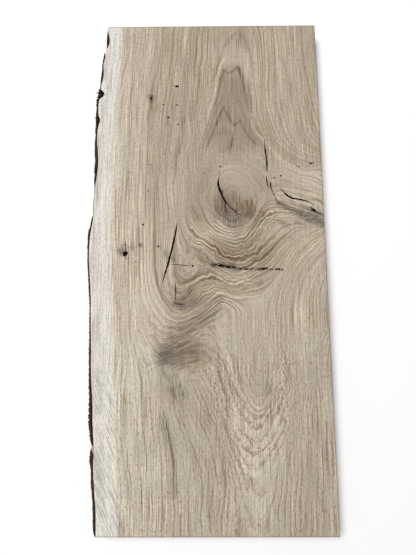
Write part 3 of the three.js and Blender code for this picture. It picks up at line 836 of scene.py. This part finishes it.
# Marks that go right through the board, and marks that only the wood near the face has.
WHOLE_MARKS = {
    "curl": CURLS, "jag": JAGGED, "quiet": QUIET, "hatch": HATCH, "pull": KNOT_PULL, "blue_grey": BLUE_GREY,
}
FACE_MARKS = {"shade": SHADE, "pale": PALE, "brown": BROWN, "grey": GREY, "black": BLACK}
note(
    board,
    ring=ring,
    near_ring=YEAR * ring_at(x, y, z, YEAR_LINES),
    near_end=smooth_step(past_near_line, 0, broken_line(NEAR_END_SOFTNESS, x)),
    slope=smooth_step(slope, 0.2, 0.6),
    sapwood=smooth_step(past_border, -border_soft, border_soft) * (x < SAPWOOD_BEFORE_X),
    heart_core=smooth_step(ring, 6.5, 3) * smooth_step(y, 200, 250) * (1 - smooth_step(y, 400, 440)),
    # Darker towards the sawn edge and ends: partly wear, partly painted shade on the rounded arris.
    rim=1 - smooth_step(np.minimum(from_side, from_end), 0.5, 2.6),
    # Painted shade on the walls of the splits and holes, from 0.3 mm below the face down.
    opened=smooth_step(THICKNESS - z, 0.02, 0.3) * inside * (z > 1),
    log_skin=~inside * (x < -150) * (from_end > 0.5) * (z < THICKNESS - 0.3),
    **{name: soft_marks(x, y, marks) for name, marks in WHOLE_MARKS.items()},
    **{name: soft_marks(x, y, marks) * near_face for name, marks in FACE_MARKS.items()},
)


# The plank's finish.
# Dry planed oak with no oil on it: pale grey-brown heartwood, nearly white sapwood, brown lines of pores
# along the rings, and stains at the knots. The sawn ends are darker. The arris is darkened brown, partly by
# wear and partly as painted shade, and the walls of the splits and holes carry painted shade.
DAYLIGHT = 1.12
HEARTWOOD, PALE_WOOD = (182, 170, 153), (206, 195, 179)
SHADED_WOOD, CORE_WOOD = (146, 131, 113), (143, 128, 111)
SAPWOOD, OUTER_SAPWOOD, STAINED_SAPWOOD = (221, 213, 199), (224, 220, 212), (178, 176, 169)
STAINS = {"brown": (102, 76, 48), "grey": (104, 93, 81), "black": (34, 29, 25)}
# The arris colour here is partly wear and partly painted shade where the edge rounds off; the last colour is
# painted shade for the walls of the splits and holes.
PORES, WORN_SHADED_ARRIS, LOG_SKIN, SPLIT_WALL_SHADE = (118, 99, 78), (128, 107, 84), (142, 122, 98), (48, 34, 24)
NEAR_END_TINT, END_GRAIN_TINT = (1.08, 1.1, 1.14, 1), (0.78, 0.72, 0.64, 1)
# Each list of tones is a ramp of (place, tint) stops, and a tint multiplies the colour under it. The
# first two run over one year, from the brown pores of spring round to the next spring's.
YEAR_TONES = [
    (0, (0.55, 0.47, 0.39)), (0.09, (0.62, 0.55, 0.47)), (0.22, (0.96, 0.95, 0.93)),
    (0.5, (1.02, 1.02, 1.02)), (0.62, (1.3, 1.3, 1.29)), (0.74, (1.04, 1.04, 1.04)),
    (0.9, (0.94, 0.93, 0.91)), (0.96, (0.6, 0.53, 0.45)),
]
NEAR_YEAR_TONES = [
    (0, (0.56, 0.47, 0.38)), (0.1, (0.66, 0.58, 0.5)), (0.24, (0.97, 0.96, 0.94)),
    (0.6, (1.08, 1.08, 1.07)), (0.86, (1.12, 1.12, 1.1)), (0.96, (0.6, 0.52, 0.43)),
]
BROAD_TONES = [(0.3, (0.86, 0.84, 0.8)), (0.7, (1.1, 1.1, 1.1))]
CRINKLE_TONES = [(0.47, (1, 1, 1)), (0.5, (1.62, 1.62, 1.6)), (0.53, (1, 1, 1))]
VEIN_TONES = [
    (0.3, (0.66, 0.6, 0.53)), (0.48, (0.98, 0.98, 0.98)), (0.56, (1.02, 1.02, 1.02)),
    (0.68, (1.3, 1.3, 1.29)),
]
THREAD_TONES = [
    (0.32, (0.5, 0.44, 0.38)), (0.46, (0.94, 0.93, 0.91)), (0.52, (1, 1, 1)), (0.68, (1.45, 1.45, 1.44)),
]
HATCH_TONES = [(0.34, (0.62, 0.57, 0.52)), (0.48, (0.95, 0.94, 0.93)), (0.6, (1.35, 1.35, 1.33))]
SAP_VEIN_TONES = [(0.3, (0.78, 0.75, 0.7)), (0.5, (1, 1, 1)), (0.7, (1.07, 1.07, 1.08))]
SAP_THREAD_TONES = [(0.32, (0.5, 0.49, 0.46)), (0.48, (0.97, 0.97, 0.96)), (0.68, (1.16, 1.16, 1.16))]
SAW_TONES = [(0.34, (0.68, 0.66, 0.63)), (0.46, (1, 1, 1)), (0.6, (1.08, 1.08, 1.08))]
MOTTLE_TONES = [(0.32, (0.78, 0.77, 0.75)), (0.5, (1, 1, 1)), (0.68, (1.2, 1.2, 1.2))]
WRINKLE_TONES = [(0.3, (0.62, 0.58, 0.53)), (0.5, (1, 1, 1)), (0.7, (1.22, 1.22, 1.2))]
HATCH_TURN, SAW_TURN = 24, -67
OAK_SHARP_ANGLE = 35


def paint(red, green, blue):
    """A colour of the finished picture, 0 to 255, as the surface colour that gives it in this light."""
    tone = np.array([red, green, blue]) / 255
    return (*((((tone + 0.055) / 1.055) ** 2.4) / DAYLIGHT).tolist(), 1)


def feed(tree, socket, value):
    """Gives a socket a number or a colour, or joins another node's output to it."""
    if isinstance(value, bpy.types.NodeSocket):
        tree.links.new(value, socket)
    elif value is not None:
        socket.default_value = value


def node(tree, kind, *inputs, out=0, **settings):
    """Adds a shader node, with its inputs in the order of its sockets."""
    made = tree.nodes.new(kind)
    for name, value in settings.items():
        setattr(made, name, value)
    for socket, value in zip(made.inputs, inputs):
        feed(tree, socket, value)
    return made.outputs[out]


def calc(tree, operation, *inputs):
    """A sum in a shader."""
    return node(tree, "ShaderNodeMath", *inputs, operation=operation)


def times(tree, value, *others):
    """Numbers multiplied together."""
    for other in others:
        value = calc(tree, "MULTIPLY", value, other)
    return value


def plus(tree, value, *others):
    """Numbers added together."""
    for other in others:
        value = calc(tree, "ADD", value, other)
    return value


def minus(tree, value, other):
    """A number less another."""
    return calc(tree, "SUBTRACT", value, other)


def between(tree, amount, first, second):
    """A number that goes from the first to the second as the amount goes from 0 to 1."""
    return plus(tree, first, times(tree, amount, minus(tree, second, first)))


def soft_rise(tree, value, low, high, least=0, most=1):
    """Rises softly from least to most as the value goes from low to high."""
    return node(tree, "ShaderNodeMapRange", value, low, high, least, most, interpolation_type="SMOOTHSTEP")


def noted(tree, name):
    """A number kept for each point of the piece."""
    return node(tree, "ShaderNodeAttribute", attribute_name=name, out=2)


def three_parts(tree, place):
    """The x, y and z of a place or a direction."""
    made = tree.nodes.new("ShaderNodeSeparateXYZ")
    tree.links.new(place, made.inputs[0])
    return tuple(made.outputs)


def stretched(tree, place, *factors):
    """A place with its x, y and z multiplied by factors."""
    return node(tree, "ShaderNodeMapping", place, None, None, factors)


def turned(tree, spot, degrees):
    """The parts of a place measured along and across a line on the face, at an angle to x."""
    x, y, z = spot
    cos, sin = math.cos(math.radians(degrees)), math.sin(math.radians(degrees))
    along = plus(tree, times(tree, x, cos), times(tree, y, sin))
    beside = minus(tree, times(tree, y, cos), times(tree, x, sin))
    return along, beside, z


def cloudy(tree, place, scale, detail=2, roughness=0.5):
    """Noise of a scale at a place."""
    made = tree.nodes.new("ShaderNodeTexNoise")
    for name, value in (("Vector", place), ("Scale", scale), ("Detail", detail), ("Roughness", roughness)):
        feed(tree, made.inputs[name], value)
    return made.outputs[0]


def drawn_out(tree, values, factors, detail, roughness):
    """Noise at the place made of three values, each multiplied by its own factor."""
    scaled = [times(tree, value, factor) for value, factor in zip(values, factors)]
    return cloudy(tree, node(tree, "ShaderNodeCombineXYZ", *scaled), 1, detail, roughness)


def streaks(tree, ring, spot, across, lengthwise, detail=2, roughness=0.5):
    """Noise drawn out along the rings: quick with the ring distance, slow with the place."""
    return drawn_out(tree, (ring, *spot[:2]), (across, lengthwise, lengthwise), detail, roughness)


def fibres(tree, spot, across, lengthwise, detail=2, roughness=0.5):
    """Noise drawn out along the trunk: quick across it, slow along it."""
    return drawn_out(tree, spot, (across, lengthwise, across), detail, roughness)


def cover(tree, amount, under, over, how="MIX"):
    """Lays one colour over another by an amount."""
    made = tree.nodes.new("ShaderNodeMix")
    made.data_type, made.blend_type = "RGBA", how
    for number, value in ((0, amount), (6, under), (7, over)):
        feed(tree, made.inputs[number], value)
    return made.outputs[2]


def tones(tree, value, stops):
    """A ramp through (place, tint) stops."""
    made = tree.nodes.new("ShaderNodeValToRGB")
    tree.links.new(value, made.inputs[0])
    ramp = made.color_ramp
    while len(ramp.elements) < len(stops):
        ramp.elements.new(0.5)
    for element, (place, tint) in zip(ramp.elements, stops):
        element.position, element.color = place, (*tint, 1)
    return made.outputs[0]


def toned(tree, amount, color, value, stops):
    """A colour multiplied, by an amount, by the tint that a ramp gives for a value."""
    return cover(tree, amount, color, tones(tree, value, stops), "MULTIPLY")


def years(tree, ring, shift, stops):
    """The tints of one year after another, from how much of its year each ring distance has passed."""
    passed = calc(tree, "FRACT", plus(tree, calc(tree, "DIVIDE", ring, YEAR), shift))
    return tones(tree, passed, stops)


def new_finish(name):
    """An empty material and its node tree."""
    finish = bpy.data.materials.new(name)
    finish.use_nodes = True
    return finish, finish.node_tree


def lay_on(tree, color, roughness, shine, relief, strength, depth):
    """Gives a finish its colour, roughness and shine, and a relief of a depth in metres."""
    bump = tree.nodes.new("ShaderNodeBump")
    for name, value in (("Strength", strength), ("Distance", depth), ("Height", relief)):
        feed(tree, bump.inputs[name], value)
    surface = tree.nodes["Principled BSDF"].inputs
    looks = {"Base Color": color, "Roughness": roughness, "Specular IOR Level": shine}
    looks["Normal"] = bump.outputs[0]
    for name, value in looks.items():
        feed(tree, surface[name], value)


def dress(piece, finish, sharp_angle):
    """Shades a piece softly but for its edges sharper than an angle, and gives it one finish."""
    piece.data.shade_smooth()
    piece.data.set_sharp_from_angle(angle=math.radians(sharp_angle))
    piece.data.materials.clear()
    piece.data.materials.append(finish)


planed_oak, tree = new_finish("planed_oak")
place = node(tree, "ShaderNodeTexCoord", out=3)
spot = three_parts(tree, place)
facing = three_parts(tree, node(tree, "ShaderNodeTexCoord", out=1))

# Where the rings run: straight far from the knots, restless round them, jagged at the marks for it.
pull, curl, at_near_end = noted(tree, "pull"), noted(tree, "curl"), noted(tree, "near_end")
off_knots = soft_rise(tree, noted(tree, "ring"), -40, -24, 0.45, 1)
knot_face = soft_rise(tree, noted(tree, "ring"), -44, -26, 0.25, 1)
waver = cloudy(tree, place, 45)
wander = minus(tree, waver, 0.5)
unrest = between(tree, pull, 0.5, between(tree, knot_face, 14, 2))
jerk = minus(tree, cloudy(tree, stretched(tree, place, 1, 0.6, 1), 210), 0.5)
jag = plus(tree, 1.2, times(tree, noted(tree, "jag"), 4.5))
ring_now = plus(tree, noted(tree, "ring"), times(tree, wander, unrest), times(tree, jerk, curl, 6))
near_ring = plus(tree, noted(tree, "near_ring"), times(tree, wander, 3), times(tree, jerk, jag))

# The fibres, from fine threads to broad bands, with the dashes of the pores and a mottle over all.
straight_fine = fibres(tree, spot, 650, 12, 3, 0.6)
curled_fine = streaks(tree, ring_now, spot, 0.6, 14, 3, 0.7)
fine = between(tree, times(tree, pull, off_knots), straight_fine, curled_fine)
far_middle = between(tree, off_knots, straight_fine, streaks(tree, ring_now, spot, 0.3, 4, 3, 0.7))
middle = between(tree, at_near_end, far_middle, streaks(tree, near_ring, spot, 0.4, 12, 3, 0.65))
broad = streaks(tree, ring_now, spot, 0.05, 3, 1)
rows = streaks(tree, ring_now, spot, 0.06, 2)
dashes = between(tree, pull, fibres(tree, spot, 600, 130, 1), streaks(tree, ring_now, spot, 0.7, 70, 1))
hatched = fibres(tree, turned(tree, spot, HATCH_TURN), 70, 620, 3, 0.7)
saw_marks = fibres(tree, turned(tree, spot, SAW_TURN), 25, 420, 3, 0.6)
mottle = cloudy(tree, place, 420, 2, 0.7)

# Heartwood: its ground, then the year lines, a bright crinkle round the knots, veins and threads.
heart = cover(tree, noted(tree, "pale"), paint(*HEARTWOOD), paint(*PALE_WOOD))
heart = cover(tree, noted(tree, "shade"), heart, paint(*SHADED_WOOD))
heart = cover(tree, times(tree, noted(tree, "heart_core"), 0.6), heart, paint(*CORE_WOOD))
heart = toned(tree, 0.8, heart, broad, BROAD_TONES)
loud = minus(tree, 1, noted(tree, "quiet"))
shown = times(tree, knot_face, noted(tree, "slope"), loud)
far_years = years(tree, ring_now, times(tree, rows, 4), YEAR_TONES)
near_years = years(tree, near_ring, times(tree, rows, 0.7), NEAR_YEAR_TONES)
year_lines = cover(tree, at_near_end, far_years, near_years)
faint = soft_rise(tree, streaks(tree, ring_now, spot, 0.11, 6, 1), 0.38, 0.6, 0.35, 0.95)
far_strength = times(tree, shown, calc(tree, "MAXIMUM", faint, curl))
near_faint = soft_rise(tree, streaks(tree, near_ring, spot, 0.16, 9, 1), 0.4, 0.6, 0, 0.9)
near_faint = times(tree, near_faint, soft_rise(tree, dashes, 0.62, 0.44, 0.35, 1.2))
near_bold = between(tree, noted(tree, "jag"), near_faint, soft_rise(tree, waver, 0.36, 0.5, 0.45, 1))
line_strength = between(tree, at_near_end, far_strength, times(tree, near_bold, loud))
heart = cover(tree, line_strength, heart, year_lines, "MULTIPLY")
heart = cover(tree, times(tree, curl, shown), heart, year_lines, "MULTIPLY")
crinkle = cloudy(tree, stretched(tree, place, 0.8, 1.6, 1), 130, 3, 0.6)
patchy = soft_rise(tree, waver, 0.4, 0.56, 0.2, 1)
crinkled = times(tree, soft_rise(tree, pull, 0.5, 0.95), knot_face, patchy)
heart = toned(tree, crinkled, heart, crinkle, CRINKLE_TONES)
vein_strength = times(tree, between(tree, at_near_end, shown, 1), plus(tree, 0.45, times(tree, curl, 0.5)))
heart = toned(tree, vein_strength, heart, middle, VEIN_TONES)
heart = toned(tree, times(tree, knot_face, 0.8), heart, fine, THREAD_TONES)
heart = toned(tree, noted(tree, "hatch"), heart, hatched, HATCH_TONES)
heart = cover(tree, at_near_end, heart, NEAR_END_TINT, "MULTIPLY")

# Sapwood: paler and plainer, with blue-grey stains, and slanted saw marks over its near third.
sap = cover(tree, soft_rise(tree, ring_now, 172, 204), paint(*SAPWOOD), paint(*OUTER_SAPWOOD))
sap = toned(tree, 0.8, sap, middle, SAP_VEIN_TONES)
sap = cover(tree, noted(tree, "blue_grey"), sap, paint(*STAINED_SAPWOOD))
sawn = times(tree, soft_rise(tree, spot[1], -0.16, -0.3), 0.75)
sap = toned(tree, 0.9, sap, between(tree, sawn, fine, saw_marks), SAP_THREAD_TONES)
sap = toned(tree, sawn, sap, saw_marks, SAW_TONES)
wood = cover(tree, noted(tree, "sapwood"), heart, sap)

# Over both: stains that the fibres break up, pores, mottle, the arris darkened partly by wear and partly
# by painted shade, the log's skin, and painted shade on the walls of the splits and holes.
streaky = soft_rise(tree, plus(tree, fine, middle), 0.82, 1.14, 1.9, 0.3)
streaky = between(tree, noted(tree, "hatch"), streaky, soft_rise(tree, hatched, 0.36, 0.6, 1.6, 0.5))
for name, color in STAINS.items():
    amount = calc(tree, "MINIMUM", times(tree, noted(tree, name), streaky), 1)
    wood = cover(tree, amount, wood, paint(*color))
less_in_sapwood = soft_rise(tree, noted(tree, "sapwood"), 0, 1, 1, 0.7)
pore = times(tree, soft_rise(tree, dashes, 0.45, 0.34, 0, 0.42), less_in_sapwood)
wood = cover(tree, pore, wood, paint(*PORES))
wood = toned(tree, 0.7, wood, mottle, MOTTLE_TONES)
# The arris: partly worn brown, partly painted shade.
wood = cover(tree, times(tree, noted(tree, "rim"), 0.6), wood, paint(*WORN_SHADED_ARRIS))
bare_skin = toned(tree, 1, paint(*LOG_SKIN), fine, WRINKLE_TONES)
wood = cover(tree, times(tree, noted(tree, "log_skin"), 0.85), wood, bare_skin)
end_grain = times(tree, soft_rise(tree, calc(tree, "ABSOLUTE", facing[1]), 0.5, 0.9), 0.5)
wood = cover(tree, end_grain, wood, END_GRAIN_TINT, "MULTIPLY")
# Painted shade down the walls of the splits and holes.
wood = cover(tree, noted(tree, "opened"), wood, paint(*SPLIT_WALL_SHADE))

roughness = soft_rise(tree, fine, 0.3, 0.7, 0.74, 0.58)
lay_on(tree, wood, roughness, 0.3, minus(tree, times(tree, fine, 0.6), pore), 0.35, 0.0004)
dress(board, planed_oak, OAK_SHARP_ANGLE)
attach(board, "root")
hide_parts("board")


# The bark.
# What is left of the oak's bark in six strips along the live edge: dark, furrowed along the trunk,
# brittle, sawn off level with the face of the plank and torn away below. It is grown on to the wood with
# no fixing. Each strip is a list of places from the near end, with its thickness there.
BARK_GAP, BARK_TOP, BARK_FOOT, BARK_RAGGED = 0.3, 39.7, 0.5, 5
BARK_STEP, BARK_SHARP_ANGLE = 1.2, 50
BARK_LEAST = 0.6
# The bark's colours in its furrows and on its ridges; the furrows' colour is partly the bark's own and partly
# painted shade.
SHADED_BARK_FURROWS, BARK_RIDGES = (31, 21, 14), (84, 66, 50)
PATCH_TONES = [(0.35, (0.7, 0.66, 0.6)), (0.65, (1.2, 1.2, 1.2))]
FLAKE_TONES = [(0.3, (0.55, 0.5, 0.45)), (0.7, (1.4, 1.38, 1.35))]
BARK_STRIPS = {
    "bark_near_strip": [
        (0, 2.6), (15, 2.8), (30, 3.4), (45, 2.8), (60, 2.4), (75, 2.8), (90, 1.9), (105, 1.4), (115, 3),
        (125, 4.2), (135, 2.6), (140, 1.2),
    ],
    "bark_middle_strip": [
        (150, 1.5), (160, 3.6), (175, 4.6), (195, 5), (215, 5), (235, 4), (255, 3), (290, 2.4), (340, 2.2),
        (385, 1.6), (415, 1.8), (440, 2.4), (460, 2.6), (485, 2), (510, 2), (525, 3.2), (535, 3),
        (550, 4.6), (560, 3.2), (575, 3), (585, 1),
    ],
    "bark_upper_strip": [
        (655, 1), (665, 3), (680, 4), (695, 4.4), (705, 3.4), (720, 2), (740, 1.2), (755, 1.3), (765, 1),
    ],
    "bark_burr_strip": [
        (770, 1.2), (778, 4.6), (786, 6.6), (793, 3), (800, 1.6), (815, 1.6), (826, 1.6), (833, 2.6),
        (837, 9), (841, 12.6), (847, 12.4), (851, 9), (855, 2.4), (862, 1.6), (880, 2.2), (888, 4.2),
        (896, 2.8), (902, 1.4), (910, 0.9),
    ],
    "bark_sliver": [(920, 1), (925, 3.4), (930, 3.2), (940, 1)],
    "bark_far_flake": [(950, 1), (955, 2.6), (962, 4.4), (970, 3.6), (976, 1.6), (984, 2.2), (990, 1)],
}
OUTER_POINTS, INNER_POINTS = 22, 6


def bark_skin(order, thickness):
    """A strip of bark: a closed section carried along the edge. Its outside stands out by a share of the
    thickness, high on the ridges, low in the furrows along it and in the cracks across it. The product of two
    sine waves makes its foot ragged."""
    start, end = thickness[0][0], thickness[-1][0]
    at = np.linspace(start, end, max(round((end - start) / BARK_STEP), 12))[:, None]
    ragged = BARK_RAGGED * np.abs(np.sin(0.11 * at + order) * np.sin(0.043 * at + 2 * order))
    foot = BARK_FOOT + ragged + 0.8 * np.abs(ripple(at, 0, 3, order))
    crown = BARK_TOP - 0.5 * np.abs(ripple(at, 0, 4, order + 30))
    up = np.concatenate([np.linspace(0, 1, OUTER_POINTS), np.linspace(1, 0, INNER_POINTS)])[None]
    is_outer = (np.arange(OUTER_POINTS + INNER_POINTS) < OUTER_POINTS)[None]
    z = foot + (crown - foot) * up
    torn = 0.3 * np.abs(ripple(at, 0, 4, order + 40)) + 0.25 * np.abs(ripple(at, 0, 9, order + 45))
    thick = smooth_curve(thickness, at) * (1.1 - torn)
    furrow = np.abs(ripple(at / 5, z, 4, order + 50)) ** 0.7
    crack = np.clip(ripple(at, z / 3, 5, order + 60) - 0.6, 0, 1)
    rim = np.clip(np.minimum(up, 1 - up) * 9, 0.35, 1)
    relief = np.clip(0.25 + 0.75 * furrow - 0.8 * crack, 0.1, 1) * rim
    out = np.where(is_outer, BARK_LEAST + np.maximum(thick - BARK_LEAST, 0.1) * (0.35 + 0.65 * relief), 0)
    x = SAWN_X - edge_reach(at, z) - BARK_GAP - out
    torn_back = 3 * np.abs(ripple(z / 2, 0 * z, 5, order + 70)) + 0 * at
    y = at - LENGTH / 2 + torn_back * (np.exp(-(at - start) / 5) - np.exp(-(end - at) / 5))
    return loft(np.stack([x, y, np.broadcast_to(z, x.shape)], -1))


# Each twig: its place along the edge and up from the underside, how far it stands out, its thickness, and
# how far it leans towards the far end.
BURR_TWIGS = [
    (848, 38, 13.6, 3.6, 0.8), (844, 38, 8, 3, 1.6), (839.5, 38.2, 11.5, 3.4, -0.8), (836, 38, 8, 3, -2),
    (852, 37.6, 6, 3, 3.5), (834, 37, 5, 3.4, -3), (841, 32, 8, 3, 0.4), (846, 26, 7, 3, 1.5),
    (837, 20, 6, 3, -1), (791, 38, 7.5, 3.2, 1.8), (786, 38.2, 6, 3, -0.6), (780, 38, 4, 2.6, -2),
    (795, 37.5, 3, 3, 3),
]


def twig(at, height, reach, thick, rise):
    """A stub that leaves the burr outwards and thins towards its tip: seven-sided rings along a line that
    bends as a sine wave does."""
    t = np.array([0, 0.3, 0.6, 0.85, 1])[:, None]
    way = np.linspace(0, 2 * np.pi, 7, endpoint=False)[None]
    radius = 0.5 * thick * (1 - 0.75 * t**2)
    root = SAWN_X - edge_reach(at, height) - 1.2
    x = root - (reach + 2) * t + 0 * way
    y = at - LENGTH / 2 + rise * t + 0.5 * np.sin(5 * t) + radius * np.cos(way)
    z = height - 1.2 * t**2 + radius * np.sin(way)
    return loft(np.stack([x, y, z], -1)[::-1])


rough_bark, tree = new_finish("rough_bark")
place = node(tree, "ShaderNodeTexCoord", out=3)
flakes = cloudy(tree, stretched(tree, place, 1, 0.25, 0.7), 900, 4, 0.65)
patches = cloudy(tree, place, 60, 3)
# Darker the less the bark stands out: partly its own darker furrows, partly painted shade in them. The top
# 1.5 mm of a strip takes the furrows' colour.
bark_color = cover(tree, noted(tree, "ridge"), paint(*SHADED_BARK_FURROWS), paint(*BARK_RIDGES))
bark_color = toned(tree, patches, bark_color, patches, PATCH_TONES)
bark_color = toned(tree, 0.9, bark_color, flakes, FLAKE_TONES)
lay_on(tree, bark_color, 0.9, 0.06, flakes, 0.8, 0.0012)

for order, (name, thickness) in enumerate(BARK_STRIPS.items()):
    strip = new_piece(name.replace("bark", "oak_bark"), *bark_skin(order, thickness))
    if name == "bark_burr_strip":
        for size in BURR_TWIGS:
            carve(strip, [twig(*size)], "UNION")
    x, y, z = points_of(strip)
    away = SAWN_X - edge_reach(y + LENGTH / 2, z) - x - BARK_GAP
    most = np.maximum(smooth_curve(thickness, y + LENGTH / 2), 1)
    note(strip, ridge=np.clip(away / most, 0, 1) * (z < BARK_TOP - 1.5))
    dress(strip, rough_bark, BARK_SHARP_ANGLE)
    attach(strip, "root")
    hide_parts(name)
